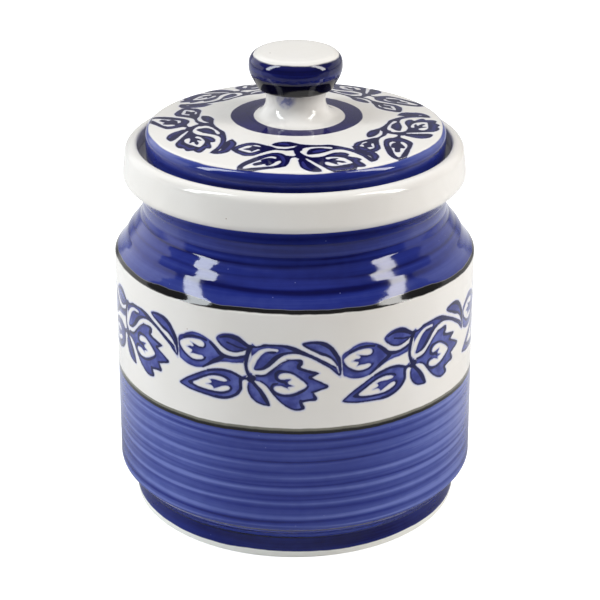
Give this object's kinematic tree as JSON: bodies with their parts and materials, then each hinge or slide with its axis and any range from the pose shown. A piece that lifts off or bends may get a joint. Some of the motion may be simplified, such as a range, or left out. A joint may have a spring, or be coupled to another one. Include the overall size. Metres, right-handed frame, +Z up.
{
  "type": "ceramic pickle jar",
  "caption": "Round glazed ceramic pickle jar with a rolled collar and a lift-off lid with a mushroom knob, white with cobalt blue bands.",
  "frame": {"origin": "centre of the ring under the foot, on the surface that the jar stands on", "axes": "+Z up along the axis of the jar; +X to the right and -Y to the front as pictured"},
  "size_m": [0.125, 0.125, 0.1598],
  "materials": {
    "jar_glaze": "gloss glaze: white collar and band, cobalt blue shoulder and lower wall, thin dark lines, bare clay under the foot",
    "lid_glaze": "gloss white glaze with a cobalt blue edge and a cobalt blue ring round the knob",
    "knob_glaze": "gloss cobalt blue glaze round the head, white on its top and waist"
  },
  "bodies": {
    "jar": {"jar_body": "jar_glaze"},
    "lid": {"lid": "lid_glaze", "lid_knob": "knob_glaze"}
  },
  "joints": [
    {"name": "lid_lift", "type": "slide", "parent": "jar", "child": "lid", "axis": [0, 0, 1], "range_m": [0, 0.08]}
  ]
}
